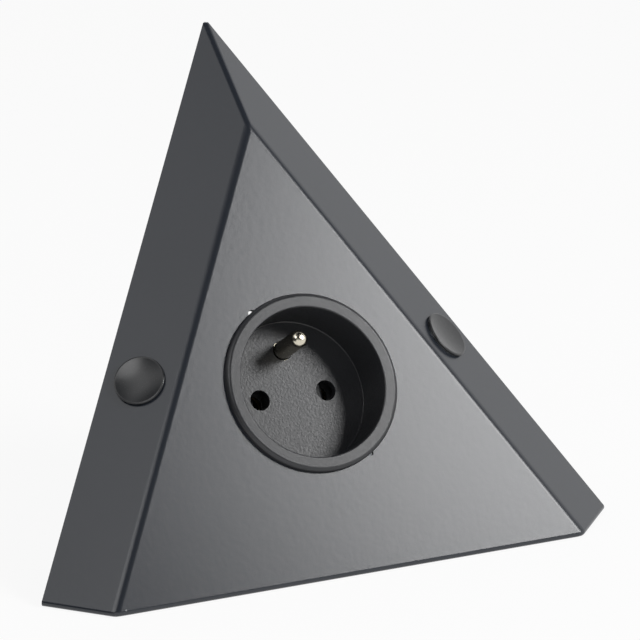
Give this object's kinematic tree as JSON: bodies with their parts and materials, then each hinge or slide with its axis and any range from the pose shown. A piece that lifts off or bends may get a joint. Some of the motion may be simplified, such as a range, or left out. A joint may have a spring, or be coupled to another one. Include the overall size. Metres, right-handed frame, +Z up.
{
  "type": "corner power socket",
  "caption": "Triangular corner power socket: folded sheet metal housing with a round recessed socket, earth pin, shutter, side caps and wall brackets.",
  "frame": {"origin": "centre of the bounding box, on the worktop", "axes": "+Z up from the worktop, -Y towards the front, +X to the right when seen from the front; the room corner is at +Y"},
  "size_m": [0.1618, 0.0952, 0.1228],
  "materials": {
    "housing": "black graphite powder coat, satin, with a fine texture",
    "socket_plastic": "black moulded thermoset, fine spark texture",
    "pin_nickel": "nickel plated, polished nose",
    "shutter_plastic": "grey moulded nylon",
    "spring_steel": "drawn music wire",
    "contact_brass": "stamped, as rolled",
    "zinc_steel": "bright zinc plated",
    "grommet_rubber": "moulded, matt",
    "cap_plastic": "moulded, black, satin"
  },
  "bodies": {
    "unit": {"housing": "housing", "socket_body": "socket_plastic", "contact_carrier": "socket_plastic", "terminal_cover": "socket_plastic", "earth_pin": "pin_nickel", "shutter_spring": "spring_steel", "contact_left": "contact_brass", "contact_right": "contact_brass", "earth_strap": "contact_brass", "terminal_screw_left": "zinc_steel", "terminal_screw_right": "zinc_steel", "terminal_screw_earth": "zinc_steel", "case_screw_1": "zinc_steel", "case_screw_2": "zinc_steel", "case_screw_3": "zinc_steel", "housing_screw_left": "zinc_steel", "housing_screw_right": "zinc_steel", "screw_cup_left": "zinc_steel", "screw_cup_right": "zinc_steel", "wall_bracket_left": "zinc_steel", "wall_bracket_right": "zinc_steel", "cable_grommet": "grommet_rubber", "cap_left": "cap_plastic", "cap_right": "cap_plastic"},
    "shutter": {"shutter": "shutter_plastic"}
  },
  "joints": [
    {"name": "shutter_slide", "type": "slide", "parent": "unit", "child": "shutter", "axis": [-1, 0, 0], "range_m": [0, 0.0032], "stiffness_N_per_m": 100, "springref_m": -0.004, "deforming": ["shutter_spring"]}
  ]
}
